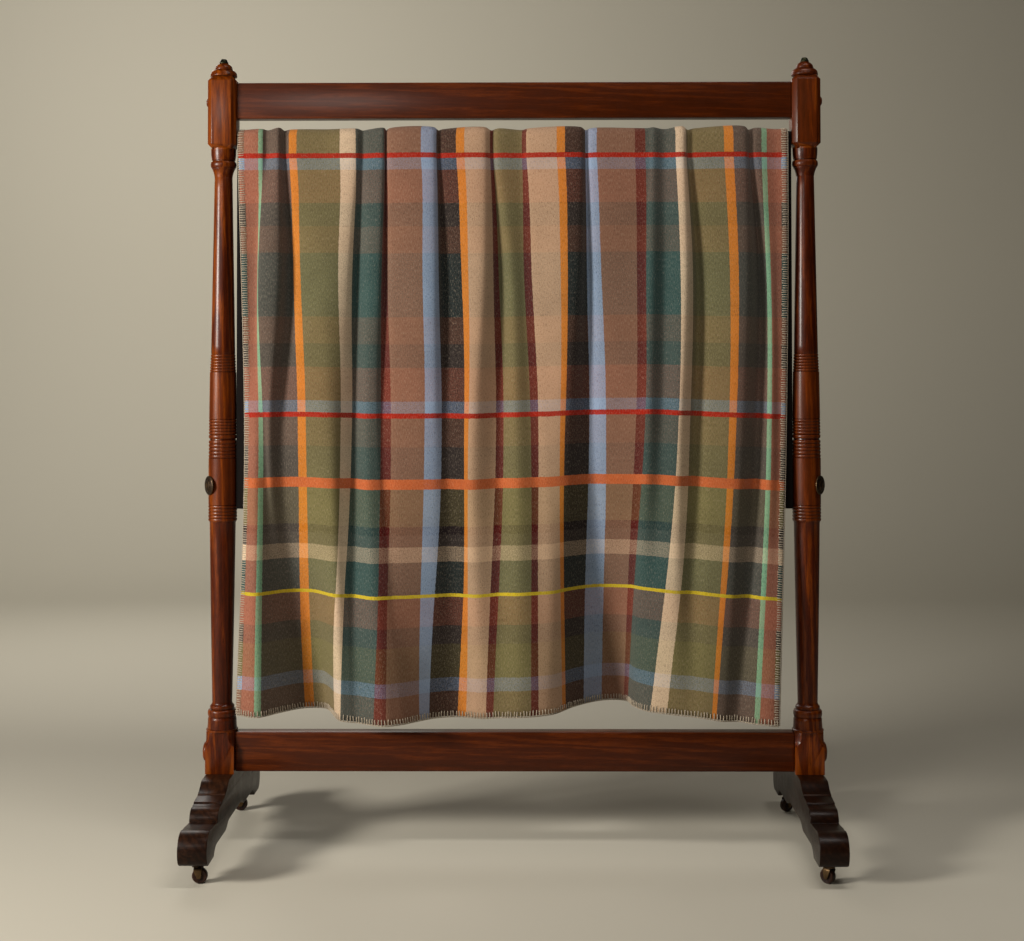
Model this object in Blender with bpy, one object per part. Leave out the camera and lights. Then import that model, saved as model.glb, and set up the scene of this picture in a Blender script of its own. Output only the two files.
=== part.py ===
"""Throw blanket hung on its wooden stand, on four small swivelling castors.

Metres, +Z up. The floor is Z = 0, the posts stand at X = -0.625 and 0.625, and the front is towards -Y.
"""
import math
from collections import namedtuple

import bmesh
import bpy
from mathutils import Matrix, Vector

MM = 0.001
GAP = 0.0003                # left between pieces that touch
SIDES = {"left": -1, "right": 1}

# Posts: a square top block, a turned shaft and a square base block, cut from one length
POST_X = 0.625
BLOCK_HALF = 0.0305
TOP_BLOCK_Z = (1.485, 1.642)
TOP_CHAMFER = 0.010
BASE_BLOCK_Z = (0.155, 0.2425)
BASE_STOP_Z = 0.212         # the base block's corners are square below this
QUARTER_ANGLES = (0, 17.25, 34.5, 45, 55.5, 72.75)

# Rails between the posts
RAIL_THICK = 0.035
TOP_RAIL_Z = (1.550, 1.627)
BOTTOM_RAIL_Z = (0.158, 0.241)
RAIL_BEVEL = 0.0015

# Hanging frame: a rail and two arms, which turn on pins in the posts
HANGER_THICK = 0.028
HANGER_Z = (1.462, 1.522)
HANGER_ROUND = 0.009
ARM_X = (0.5715, 0.5935)
ARM_FOOT_Z = 0.715
PIVOT_Z = 0.765
PIVOT_RADIUS = 0.0304       # the post's radius at the pivot
CLAMP_TURN = 35             # degrees from straight out towards the front

# Feet and castors
FOOT_THICK = 0.058
PAD_Z = 0.042               # underside of the toe, where the castor's plate sits
CASTOR_Y = 0.262
CASTOR_TURN = {             # degrees from +X to the side the wheel trails on
    ("left", "front"): 0, ("left", "back"): 180,
    ("right", "front"): 135, ("right", "back"): 215,
}
PLATE_THICK = 0.0025
SWIVEL_TOP = PAD_Z - GAP - PLATE_THICK - GAP
WHEEL_RADIUS = 0.0153
WHEEL_HALF = 0.0085
WHEEL_SIDES = 14            # twice an odd number, so that a flat of the tread is on the floor
TRAIL = 0.007
CHEEK = 0.0015

# Throw: 1.45 m wide, 1.85 m long, 2.5 mm thick, with its back part left short behind the rail
CLOTH = 0.0025
CLOTH_CLEAR = 0.002         # from the hanging frame's front and back
CLOTH_LINE = HANGER_THICK / 2 + CLOTH_CLEAR + CLOTH / 2
CLOTH_REST = 0.0005         # from the hanging rail's top
CLOTH_TOP = HANGER_Z[1] + CLOTH_REST + CLOTH / 2
CLOTH_ROUND = HANGER_ROUND + CLOTH_CLEAR + CLOTH / 2
FRONT_ROWS = 10
ROUND_ROWS = 3
BACK_ROWS = 3
BACK_HEM_Z = 0.985
RISE_OVER_RAIL = 0.4        # how much of a fold's depth is left on top of the rail
FOLD_SPAN = 0.036           # a longer stretch between two folds gets columns of its own

# Heights where the folds are given: at the rail, upper, at the waist, and at the hem
FOLD_Z = (1.470, 1.240, 0.855, 0.281)

# One row for each fold line from left to right, in mm: its X and its distance in front of the
# hanging line at each of the four heights, and how much lower than the hem's height it ends.
Fold = namedtuple("Fold", "rail_x rail_out upper_x upper_out waist_x waist_out hem_x hem_out lower")
FOLDS = (
    Fold(-589, 3, -581, 5, -573, 5, -590, 6, 0),
    Fold(-541, 9, -549, 4, -550, 16, -543, 32, 0),
    Fold(-529, 3, -539, 23, -530, 12, -502, -12, -1),
    Fold(-503, 14, -500, 27, -520, 16, -464, -50, -2),
    Fold(-493, 1, -482, -3, -497, 0, -440, -60, -2),
    Fold(-480, 6, -460, 10, -454, 12, -408, -48, -3),
    Fold(-399, 7, -400, 20, -388, 26, -363, 62, 0),
    Fold(-336, 9, -352, 10, -362, 8, -346, 64, 2),
    Fold(-325, 1, -338, -9, -345, -10, -329, 62, 4),
    Fold(-308, 7, -307, 15, -313, 19, -271, 88, 6),
    Fold(-278, 12, -285, 16, -292, 17, -243, 76, 6),
    Fold(-275, 0, -277, 0, -280, 10, -231, 68, 6),
    Fold(-266, 11, -258, 14, -249, 18, -209, 45, 6),
    Fold(-171, 14, -169, 21, -171, 20, -169, 13, 5),
    Fold(-162, 1, -154, -2, -142, 6, -127, -2, 5),
    Fold(-152, 6, -127, 9, -116, 12, -99, 2, 6),
    Fold(-62, 14, -64, 22, -86, 21, -69, 13, 6),
    Fold(-48, 0, -35, -10, -31, -6, -33, 18, 3),
    Fold(-34, 9, -8, 13, 5, 19, 15, 30, 0),
    Fold(19, 2, 24, 6, 41, 12, 64, 20, -2),
    Fold(30, 8, 54, 12, 71, 15, 88, 4, -3),
    Fold(144, 13, 136, 17, 112, 12, 128, -45, -8),
    Fold(154, 0, 158, -10, 161, -17, 187, -100, -10),
    Fold(166, 9, 178, 7, 190, -4, 221, -104, -11),
    Fold(287, 9, 276, 13, 262, 17, 243, -80, -13),
    Fold(298, 12, 293, 21, 284, 27, 254, -20, -14),
    Fold(322, 4, 321, 10, 312, 18, 280, 22, -12),
    Fold(361, 16, 365, 29, 350, 31, 331, 38, -8),
    Fold(372, 1, 391, -4, 384, 0, 372, 44, -5),
    Fold(387, 7, 409, 11, 417, 18, 401, 50, -2),
    Fold(493, 15, 495, 25, 480, 27, 435, 50, 3),
    Fold(503, 1, 524, -13, 517, -8, 470, 36, 6),
    Fold(517, 9, 541, 13, 542, 17, 505, 54, 8),
    Fold(560, 3, 561, 9, 561, 10, 533, 60, 10),
    Fold(583, 5, 582, 7, 576, 8, 553, 56, 13),
)

# Slow waves of the back part: depth at its hem, length across, and place, in metres
Wave = namedtuple("Wave", "depth length start")
BACK_WAVES = (Wave(0.010, 0.290, 0.05), Wave(0.005, 0.132, 0.02))


def clear_scene():
    """Remove every object of the open file."""
    for obj in list(bpy.data.objects):
        bpy.data.objects.remove(obj, do_unlink=True)


def finish(name, color, roughness, metallic=0.0):
    """A plain Principled material."""
    mat = bpy.data.materials.new(name)
    mat.use_nodes = True
    shader = mat.node_tree.nodes["Principled BSDF"]
    shader.inputs["Base Color"].default_value = (*color, 1.0)
    shader.inputs["Roughness"].default_value = roughness
    shader.inputs["Metallic"].default_value = metallic
    return mat


def add_object(name, bm, mat, sharp=35):
    """Turn a bmesh into a named object with smooth round faces."""
    mesh = bpy.data.meshes.new(name)
    bmesh.ops.recalc_face_normals(bm, faces=bm.faces)
    bm.to_mesh(mesh)
    bm.free()
    mesh.shade_smooth()
    mesh.set_sharp_from_angle(angle=math.radians(sharp))
    mesh.materials.append(mat)
    obj = bpy.data.objects.new(name, mesh)
    bpy.context.scene.collection.objects.link(obj)
    return obj


def loft(rings):
    """A closed body through rings of points, with a flat face at each end."""
    bm = bmesh.new()
    loops = [[bm.verts.new(p) for p in ring] for ring in rings]
    count = len(loops[0])
    for low, high in zip(loops, loops[1:]):
        for i in range(count):
            j = (i + 1) % count
            bm.faces.new((low[i], low[j], high[j], high[i]))
    bm.faces.new(reversed(loops[0]))
    bm.faces.new(loops[-1])
    return bm


def turned(profile, count):
    """A body turned about Z from (height, radius) points that run upwards."""
    angles = [math.tau * i / count for i in range(count)]
    return loft([[Vector((r * math.cos(a), r * math.sin(a), z)) for a in angles] for z, r in profile])


def extruded(outline, start, end, place):
    """A prism: outline points are put in the world by place(a, b, depth)."""
    return loft([[place(a, b, depth) for a, b in outline] for depth in (start, end)])


def arc(center, radius, start, end, steps):
    """Points on an arc, angles in degrees."""
    angles = [math.radians(start + (end - start) * i / steps) for i in range(steps + 1)]
    return [(center[0] + radius * math.cos(a), center[1] + radius * math.sin(a)) for a in angles]


def box(low, high):
    """A rectangular block."""
    outline = [(low[0], low[1]), (high[0], low[1]), (high[0], high[1]), (low[0], high[1])]
    return extruded(outline, low[2], high[2], lambda x, y, z: Vector((x, y, z)))


def ring_angles():
    """Angles that hit the corners of the chamfered blocks and stay nearly even on the shaft."""
    return [math.radians(90 * quarter + a) for quarter in range(4) for a in QUARTER_ANGLES]


def block_ring(x, z, half, chamfer):
    """A square section with cut corners."""
    ring = []
    for a in ring_angles():
        c, s = abs(math.cos(a)), abs(math.sin(a))
        reach = min(half / max(c, s), (2 * half - chamfer) / (c + s))
        ring.append(Vector((x + reach * math.cos(a), reach * math.sin(a), z)))
    return ring


def round_ring(x, z, radius):
    """A round section with the same points as a block's."""
    return [Vector((x + radius * math.cos(a), radius * math.sin(a), z)) for a in ring_angles()]


def reeds(start, end, count, low_radius, high_radius, cut=0.0016):
    """A band of small rings cut in the shaft: a groove below each ring and one on top."""
    step = (end - start) / count
    points = []
    for i in range(count):
        radius = low_radius + (high_radius - low_radius) * (i + 0.5) / count
        points.append((start + step * i, radius - cut))
        points.append((start + step * (i + 0.5), radius))
    points.append((end, high_radius - cut))
    return points


def shaft_profile():
    """Heights and radii of the turned part, from the base block up to the top block."""
    foot = [(0.243, 0.0337), (0.246, 0.0337), (0.247, 0.0312), (0.268, 0.0300), (0.2715, 0.0288),
            (0.2755, 0.0300), (0.280, 0.0304), (0.285, 0.0296), (0.289, 0.0258), (0.2935, 0.0257),
            (0.2975, 0.0235), (0.302, 0.0212)]
    lower = [(0.480, 0.0245), (0.6845, 0.0275)]
    middle = (reeds(0.688, 0.723, 2, 0.0305, 0.0305) + [(0.727, 0.0304), (0.819, 0.0303)]
              + reeds(0.823, 0.861, 2, 0.0302, 0.0300)
              + [(0.8655, 0.0272), (0.870, 0.0298)]
              + reeds(0.874, 0.906, 2, 0.0298, 0.0296) + [(0.910, 0.0293), (1.003, 0.0280)]
              + reeds(1.007, 1.045, 2, 0.0276, 0.0262))
    upper = [(1.049, 0.0255), (1.240, 0.0222), (1.420, 0.0192), (1.432, 0.0205)]
    neck = [(1.440, 0.0240), (1.449, 0.0258), (1.457, 0.0258), (1.460, 0.0238), (1.464, 0.0250),
            (1.485, 0.0255)]
    return foot + lower + middle + upper + neck


def make_post(side, wood):
    """One turned post."""
    x = SIDES[side] * POST_X
    rings = [block_ring(x, BASE_BLOCK_Z[0], BLOCK_HALF, 0.0),
             block_ring(x, BASE_STOP_Z, BLOCK_HALF, 0.0),
             block_ring(x, BASE_STOP_Z + 0.008, BLOCK_HALF, 0.007),
             block_ring(x, BASE_STOP_Z + 0.016, BLOCK_HALF, 0.011),
             block_ring(x, BASE_BLOCK_Z[1], BLOCK_HALF, 0.012)]
    rings += [round_ring(x, z, r) for z, r in shaft_profile()]
    rings += [block_ring(x, z, BLOCK_HALF, TOP_CHAMFER) for z in TOP_BLOCK_Z]
    add_object("post_" + side, loft(rings), wood)


def make_finial(side, wood, bronze):
    """The stepped dome on a top block, with its metal button."""
    place = Matrix.Translation((SIDES[side] * POST_X, 0, TOP_BLOCK_Z[1] + GAP))
    dome = [(0.0, 0.0285), (0.004, 0.0285), (0.010, 0.0265), (0.0145, 0.0205), (0.0155, 0.0185),
            (0.020, 0.0180), (0.0255, 0.0145), (0.0285, 0.0100)]
    bm = turned(dome, 16)
    bm.transform(place)
    add_object("finial_" + side, bm, wood)
    button = [(0.0, 0.0095), (0.003, 0.0095), (0.006, 0.0070), (0.008, 0.0025)]
    bm = turned(button, 12)
    bm.transform(place @ Matrix.Translation((0, 0, dome[-1][0] + GAP)))
    add_object("finial_button_" + side, bm, bronze)


def outward(side, z, distance, turn=0.0):
    """A frame whose Z axis points out of a post's outer side, turned towards the front."""
    sign = SIDES[side]
    out = Matrix.Rotation(math.radians(90 * sign), 4, "Y")
    swing = Matrix.Rotation(math.radians(-sign * turn), 4, "Z")
    return Matrix.Translation((sign * POST_X, 0, z)) @ swing @ out @ Matrix.Translation((0, 0, distance))


def make_fittings(side, wood, brass):
    """Turned plugs over the rail bolts, the clamp screw and the pivot's washer."""
    plugs = {"upper": (1.587, 0.0100, 0.0060), "lower": (0.197, 0.0215, 0.0090)}
    for name, (z, radius, height) in plugs.items():
        bm = turned([(0.0, radius), (height * 0.35, radius), (height * 0.8, radius * 0.8),
                     (height, radius * 0.45)], 16)
        bm.transform(outward(side, z, BLOCK_HALF + GAP))
        add_object(f"plug_{name}_{side}", bm, wood)
    screw = [(0.0, 0.0205), (0.0022, 0.0205), (0.0034, 0.0185), (0.0038, 0.0125), (0.0058, 0.0110),
             (0.0072, 0.0060)]
    bm = turned(screw, 14)
    bm.transform(outward(side, PIVOT_Z, PIVOT_RADIUS + GAP, CLAMP_TURN))
    add_object("clamp_screw_" + side, bm, brass)
    inner = POST_X - PIVOT_RADIUS
    washer = [(0.0, 0.0085), (inner - ARM_X[1] - 2 * GAP, 0.0085)]
    bm = turned(washer, 14)
    bm.transform(outward(side, PIVOT_Z, ARM_X[1] + GAP - POST_X))
    add_object("pivot_" + side, bm, brass)


def make_rail(name, heights, wood):
    """A straight rail between the posts' inner faces."""
    reach = POST_X - BLOCK_HALF - GAP
    half = RAIL_THICK / 2
    obj = add_object(name, box((-reach, -half, heights[0]), (reach, half, heights[1])), wood)
    bevel = obj.modifiers.new("eased edges", "BEVEL")
    bevel.width = RAIL_BEVEL
    bevel.segments = 1


def hanger_outline(bottom):
    """Section of the hanging rail and of an arm's top: straight sides and eased upper edges."""
    half, top = HANGER_THICK / 2, HANGER_Z[1]
    inset, level = half - HANGER_ROUND, top - HANGER_ROUND
    return ([(-half, bottom), (half, bottom)]
            + arc((inset, level), HANGER_ROUND, 0, 90, 4) + arc((-inset, level), HANGER_ROUND, 90, 180, 4))


def make_hanger(wood):
    """The hanging rail and the two arms that carry it."""
    def place(y, z, x):
        return Vector((x, y, z))
    reach = ARM_X[0] - GAP
    add_object("hanging_rail", extruded(hanger_outline(HANGER_Z[0]), -reach, reach, place), wood)
    for side, sign in SIDES.items():
        start, end = sorted(sign * x for x in ARM_X)
        add_object("arm_" + side, extruded(hanger_outline(ARM_FOOT_Z), start, end, place), wood)


def foot_outline():
    """Side outline of a foot: seat, cove, two small steps, two rolls, castor pad and arch."""
    half = [(0.040, BASE_BLOCK_Z[0] - GAP), (0.074, 0.1540), (0.082, 0.1510), (0.092, 0.1440),
            (0.101, 0.1385), (0.113, 0.1355), (0.114, 0.1330), (0.152, 0.1295), (0.154, 0.1265)]
    half += arc((0.172, 0.100), 0.0245, 98, 0, 7)
    half += [(0.200, 0.1005), (0.236, 0.1035)]
    half += arc((0.272, 0.070), 0.036, 108, -40, 11)
    half += [(0.291, PAD_Z), (0.234, PAD_Z), (0.226, 0.0500), (0.206, 0.0600), (0.108, 0.0590),
             (0.084, 0.0690), (0.060, 0.0720)]
    return half + [(-y, z) for y, z in reversed(half)]


def make_foot(side, wood):
    """One sled foot, as long in front of its post as behind."""
    half = FOOT_THICK / 2
    center = SIDES[side] * POST_X
    bm = extruded(foot_outline(), center - half, center + half, lambda y, z, x: Vector((x, y, z)))
    add_object("foot_" + side, bm, wood)


def horn_body():
    """Two cheeks and the bridge over the wheel, as one bent strip."""
    cheek = WHEEL_HALF + 2 * GAP + CHEEK / 2
    bridge = 0.0335
    path = [(-cheek, 0.0110), (-cheek, 0.0190), (-cheek, 0.0300), (-cheek * 0.75, bridge)]
    path += [(-y, z) for y, z in reversed(path)]
    spans = [(0.0045, 0.0095), (0.0028, 0.0112), (-0.0040, 0.0120), (-0.0060, 0.0110)]
    spans += spans[::-1]
    rings = []
    for i, ((y, z), (back, front)) in enumerate(zip(path, spans)):
        before, after = Vector(path[max(i - 1, 0)]), Vector(path[min(i + 1, len(path) - 1)])
        along = (after - before).normalized() * CHEEK / 2
        rings.append([Vector((back, y - along.y, z + along.x)), Vector((front, y - along.y, z + along.x)),
                      Vector((front, y + along.y, z - along.x)), Vector((back, y + along.y, z - along.x))])
    return loft(rings)


def make_castor(side, end, brass, steel, wood):
    """Plate, swivelling horn and wheel. The horn's origin is on the swivel axis."""
    x, y = SIDES[side] * POST_X, CASTOR_Y * (-1 if end == "front" else 1)
    name = f"castor_{side}_{end}"
    bm = turned([(PAD_Z - GAP - PLATE_THICK, 0.0150), (PAD_Z - GAP - PLATE_THICK / 2, 0.0165),
                 (PAD_Z - GAP, 0.0165)], 16)
    bm.transform(Matrix.Translation((x, y, 0)))
    add_object(name + "_plate", bm, brass)

    swivel = bpy.data.objects.new(name + "_swivel_axis", None)
    swivel.location = (x, y, 0)
    swivel.rotation_euler = (0, 0, math.radians(CASTOR_TURN[side, end]))
    bpy.context.scene.collection.objects.link(swivel)

    horn = add_object(name + "_horn", horn_body(), brass)
    horn.parent = swivel
    neck = add_object(name + "_neck_guide", turned([(0.0332, 0.0085), (0.0362, 0.0085),
                                                    (0.0372, 0.0120), (SWIVEL_TOP, 0.0120)], 16), brass)
    neck.parent = swivel
    neck.hide_render = True
    neck.display_type = "WIRE"
    join = horn.modifiers.new("neck", "BOOLEAN")
    join.operation = "UNION"
    join.object = neck

    spin = bpy.data.objects.new(name + "_axle_axis", None)
    spin.parent = swivel
    spin.location = (TRAIL, 0, WHEEL_RADIUS)
    spin.rotation_euler = (math.radians(-90), 0, 0)
    bpy.context.scene.collection.objects.link(spin)
    flat = 1 / math.cos(math.pi / WHEEL_SIDES)
    half = WHEEL_HALF
    tread = WHEEL_RADIUS * flat
    wheel = [(-half, 0.0045), (-half + 0.0018, 0.0060), (-half + 0.0014, tread - 0.0035),
             (-half + 0.0026, tread)]
    wheel += [(-h, r) for h, r in reversed(wheel)]
    obj = add_object(name + "_wheel", turned(wheel, WHEEL_SIDES), wood)
    obj.parent = spin


def slopes(knots, values):
    """Slopes of a smooth curve through values at uneven knots."""
    steps = [(b - a) / (t - s) for a, b, s, t in zip(values, values[1:], knots, knots[1:])]
    middle = [(p * (knots[i + 2] - knots[i + 1]) + q * (knots[i + 1] - knots[i])) / (knots[i + 2] - knots[i])
              for i, (p, q) in enumerate(zip(steps, steps[1:]))]
    return [steps[0]] + middle + [steps[-1]]


def smooth(knots, values, at):
    """Read that curve at one place."""
    m = slopes(knots, values)
    i = max(k for k in range(len(knots) - 1) if k == 0 or knots[k] <= at)
    h = knots[i + 1] - knots[i]
    u = (at - knots[i]) / h
    return ((2 * u**3 - 3 * u**2 + 1) * values[i] + (u**3 - 2 * u**2 + u) * h * m[i]
            + (3 * u**2 - 2 * u**3) * values[i + 1] + (u**3 - u**2) * h * m[i + 1])


def fold_at(fold, z):
    """X and depth of one fold line at a height, in metres. Over the rail it stays as at the rail."""
    heights = [-h for h in FOLD_Z]
    at = -min(z, FOLD_Z[0])
    xs = (fold.rail_x, fold.upper_x, fold.waist_x, fold.hem_x)
    outs = (fold.rail_out, fold.upper_out, fold.waist_out, fold.hem_out)
    return smooth(heights, xs, at) * MM, smooth(heights, outs, at) * MM


def column_places():
    """Places along the row of folds, as fold number and fraction: more where two folds are far apart."""
    places = []
    for i, (a, b) in enumerate(zip(FOLDS, FOLDS[1:])):
        span = max(abs(q - p) for p, q in zip(a[:8:2], b[:8:2])) * MM
        count = 1 + min(2, int(span / FOLD_SPAN))
        places += [i + k / count for k in range(count)]
    return places + [len(FOLDS) - 1]


def section(points, places):
    """Points on a smooth curve through the folds' points, where bends stay as tight as the folds are."""
    knots = [0.0]
    for a, b in zip(points, points[1:]):
        knots.append(knots[-1] + math.sqrt((Vector(b) - Vector(a)).length))
    curves = list(zip(*points))
    result = []
    for place in places:
        i = min(int(place), len(points) - 2)
        at = knots[i] + (place - i) * (knots[i + 1] - knots[i])
        result.append([smooth(knots, curve, at) for curve in curves])
    return result


def front_row(part, places):
    """One row of the front: part runs from 0 at the hem to 1 at the rail."""
    points = []
    for fold in FOLDS:
        hem = FOLD_Z[-1] - fold.lower * MM
        z = hem + part * (FOLD_Z[0] - hem)
        x, out = fold_at(fold, z)
        points.append((x, -CLOTH_LINE - out, z))
    return [Vector(p) for p in section(points, places)]


def rail_row(places, angle, rise):
    """One row over the hanging rail: angle 0 is its front, 180 its back."""
    half = CLOTH_LINE - CLOTH_ROUND
    a = math.radians(angle)
    points = []
    for fold in FOLDS:
        x, out = fold_at(fold, FOLD_Z[0])
        reach = CLOTH_ROUND + out * rise
        side = half if angle > 90 else -half
        points.append((x, side - reach * math.cos(a), CLOTH_TOP - CLOTH_ROUND + reach * math.sin(a)))
    return [Vector(p) for p in section(points, places)]


def back_row(part, places):
    """One row of the back: part runs from 0 at the rail to 1 at the back hem."""
    points = []
    for fold in FOLDS:
        x, out = fold_at(fold, FOLD_Z[0])
        wave = sum(w.depth * (1 + math.sin(math.tau * (x - w.start) / w.length)) for w in BACK_WAVES)
        depth = out * RISE_OVER_RAIL * (1 - part) + (0.001 + wave) * part
        z = FOLD_Z[0] + part * (BACK_HEM_Z - FOLD_Z[0]) - 0.3 * part * wave
        points.append((x, CLOTH_LINE + depth, z))
    return [Vector(p) for p in section(points, places)]


def throw_rows():
    """The cloth's middle surface, row by row from the front hem over the rail to the back hem."""
    places = column_places()
    rows = [front_row(i / FRONT_ROWS, places) for i in range(FRONT_ROWS + 1)]
    for i in range(ROUND_ROWS + 1):
        angle = 90 * i / ROUND_ROWS
        rows.append(rail_row(places, angle, 1 - (1 - RISE_OVER_RAIL) * angle / 90))
    for i in range(ROUND_ROWS + 1):
        rows.append(rail_row(places, 90.01 + 89.99 * i / ROUND_ROWS, RISE_OVER_RAIL))
    rows += [back_row(i / BACK_ROWS, places) for i in range(BACK_ROWS + 1)]
    return rows


def make_throw(wool):
    """The cloth as a thin closed sheet on its middle surface."""
    rows = throw_rows()
    last_row, last_col = len(rows) - 1, len(rows[0]) - 1
    bm = bmesh.new()
    layers = {1: [], -1: []}
    for r, row in enumerate(rows):
        for layer in layers.values():
            layer.append([])
        for c, point in enumerate(row):
            across = row[min(c + 1, last_col)] - row[max(c - 1, 0)]
            up = rows[min(r + 1, last_row)][c] - rows[max(r - 1, 0)][c]
            normal = across.cross(up).normalized() * CLOTH / 2
            for sign, layer in layers.items():
                layer[r].append(bm.verts.new(point + sign * normal))

    def patch(a, b, c, d):
        bm.faces.new((a, b, c))
        bm.faces.new((a, c, d))

    front, back = layers[1], layers[-1]
    for r in range(last_row):
        for c in range(last_col):
            patch(front[r][c], front[r][c + 1], front[r + 1][c + 1], front[r + 1][c])
            patch(back[r][c], back[r + 1][c], back[r + 1][c + 1], back[r][c + 1])
        patch(front[r][0], front[r + 1][0], back[r + 1][0], back[r][0])
        patch(front[r][last_col], back[r][last_col], back[r + 1][last_col], front[r + 1][last_col])
    for c in range(last_col):
        patch(front[0][c], back[0][c], back[0][c + 1], front[0][c + 1])
        patch(front[last_row][c], front[last_row][c + 1], back[last_row][c + 1], back[last_row][c])
    add_object("throw", bm, wool, sharp=60)


def main():
    clear_scene()
    wood = finish("polished red-brown wood", (0.16, 0.045, 0.018), 0.3)
    dark = finish("dark stained wood", (0.035, 0.015, 0.010), 0.3)
    brass = finish("aged brass", (0.30, 0.20, 0.08), 0.4, 1.0)
    bronze = finish("green bronze", (0.06, 0.07, 0.04), 0.5, 1.0)
    wool = finish("woven wool", (0.30, 0.25, 0.20), 0.95)
    make_throw(wool)
    make_hanger(wood)
    make_rail("top_rail", TOP_RAIL_Z, wood)
    make_rail("bottom_rail", BOTTOM_RAIL_Z, wood)
    for side in SIDES:
        make_post(side, wood)
        make_finial(side, wood, bronze)
        make_fittings(side, wood, brass)
        make_foot(side, dark)
        for end in ("front", "back"):
            make_castor(side, end, brass, brass, dark)


main()
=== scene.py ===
import math
from collections import namedtuple

import bpy
import numpy as np
from mathutils import Matrix, Vector


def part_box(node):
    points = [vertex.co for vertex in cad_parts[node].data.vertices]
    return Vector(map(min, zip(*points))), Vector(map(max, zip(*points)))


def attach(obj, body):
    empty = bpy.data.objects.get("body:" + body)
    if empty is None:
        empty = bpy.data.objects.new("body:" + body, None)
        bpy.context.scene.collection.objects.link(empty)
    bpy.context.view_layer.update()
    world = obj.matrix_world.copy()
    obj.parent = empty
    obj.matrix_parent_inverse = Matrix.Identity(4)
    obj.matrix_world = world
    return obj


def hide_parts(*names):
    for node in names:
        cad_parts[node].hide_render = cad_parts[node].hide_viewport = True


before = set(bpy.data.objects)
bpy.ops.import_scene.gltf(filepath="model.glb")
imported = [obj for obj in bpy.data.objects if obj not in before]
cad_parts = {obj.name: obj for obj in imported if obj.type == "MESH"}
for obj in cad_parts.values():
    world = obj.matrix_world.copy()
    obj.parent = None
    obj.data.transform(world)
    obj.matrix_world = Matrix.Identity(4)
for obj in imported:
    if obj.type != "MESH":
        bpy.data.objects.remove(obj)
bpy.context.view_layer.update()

MM = 0.001
SIDES = {"left": -1, "right": 1}
ENDS = {"front": -1, "back": 1}
SMOOTH_ANGLE = math.radians(32)

# The photograph's view: 1024 by 941 pixels, upright lines kept parallel by a shifted lens
IMAGE_WIDTH, IMAGE_HEIGHT = 1024, 941
CAMERA_PLACE = (0.0417, -3.4685, 1.020)
CAMERA_YAW, CAMERA_PITCH, CAMERA_ROLL = -0.0092, 0.0210, -0.0012
FOCAL_PIXELS = 1616.9
AXIS_PIXEL = (518.6, 331.6)
SENSOR = 36.0

# Throw, as it was cut, and the hanging frame under it
CLOTH_WIDTH, CLOTH_LENGTH = 1.45, 1.85
CLOTH_THICK = 0.0026
CLOTH_LINE = 0.01725
CLOTH_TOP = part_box("hanging_rail")[1].z + 0.0018
CLOTH_ROUND = 0.01225
RISE_OVER_RAIL = 0.4
TURN_ROWS = 15
FLAT_TURN = 12
BACK_HEM_Z = 0.985
FOLD_Z = (1.470, 1.240, 0.855, 0.281)
COLUMN_STEP, ROW_STEP = 0.0053, 0.0155

# One row for each fold line from left to right, in mm: its X and its distance in front of the
# hanging line at each of the four heights, and how much lower than the hem's height it ends.
Fold = namedtuple("Fold", "rail_x rail_out upper_x upper_out waist_x waist_out hem_x hem_out lower")
FOLDS = (
    Fold(-589, 3, -581, 5, -573, 5, -590, 6, 0),
    Fold(-541, 9, -549, 4, -550, 16, -543, 32, 0),
    Fold(-529, 3, -539, 23, -530, 12, -502, -12, -1),
    Fold(-503, 14, -500, 27, -520, 16, -464, -50, -2),
    Fold(-493, 1, -482, -3, -497, 0, -440, -60, -2),
    Fold(-480, 6, -460, 10, -454, 12, -408, -48, -3),
    Fold(-399, 7, -400, 20, -388, 26, -363, 62, 0),
    Fold(-336, 9, -352, 10, -362, 8, -346, 64, 2),
    Fold(-325, 1, -338, -9, -345, -10, -329, 62, 4),
    Fold(-308, 7, -307, 15, -313, 19, -271, 88, 6),
    Fold(-278, 12, -285, 16, -292, 17, -243, 76, 6),
    Fold(-275, 0, -277, 0, -280, 10, -231, 68, 6),
    Fold(-266, 11, -258, 14, -249, 18, -209, 45, 6),
    Fold(-171, 14, -169, 21, -171, 20, -169, 13, 5),
    Fold(-162, 1, -154, -2, -142, 6, -127, -2, 5),
    Fold(-152, 6, -127, 9, -116, 12, -99, 2, 6),
    Fold(-62, 14, -64, 22, -86, 21, -69, 13, 6),
    Fold(-48, 0, -35, -10, -31, -6, -33, 18, 3),
    Fold(-34, 9, -8, 13, 5, 19, 15, 30, 0),
    Fold(19, 2, 24, 6, 41, 12, 64, 20, -2),
    Fold(30, 8, 54, 12, 71, 15, 88, 4, -3),
    Fold(144, 13, 136, 17, 112, 12, 128, -45, -8),
    Fold(154, 0, 158, -10, 161, -17, 187, -100, -10),
    Fold(166, 9, 178, 7, 190, -4, 221, -104, -11),
    Fold(287, 9, 276, 13, 262, 17, 243, -80, -13),
    Fold(298, 12, 293, 21, 284, 27, 254, -20, -14),
    Fold(322, 4, 321, 10, 312, 18, 280, 22, -12),
    Fold(361, 16, 365, 29, 350, 31, 331, 38, -8),
    Fold(372, 1, 391, -4, 384, 0, 372, 44, -5),
    Fold(387, 7, 409, 11, 417, 18, 401, 50, -2),
    Fold(493, 15, 495, 25, 480, 27, 435, 50, 3),
    Fold(503, 1, 524, -13, 517, -8, 470, 36, 6),
    Fold(517, 9, 541, 13, 542, 17, 505, 54, 8),
    Fold(560, 3, 561, 9, 561, 10, 533, 60, 10),
    Fold(583, 5, 582, 7, 576, 8, 553, 56, 13),
)
Wave = namedtuple("Wave", "depth length start")
BACK_WAVES = (Wave(0.010, 0.290, 0.05), Wave(0.005, 0.132, 0.02))

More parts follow.
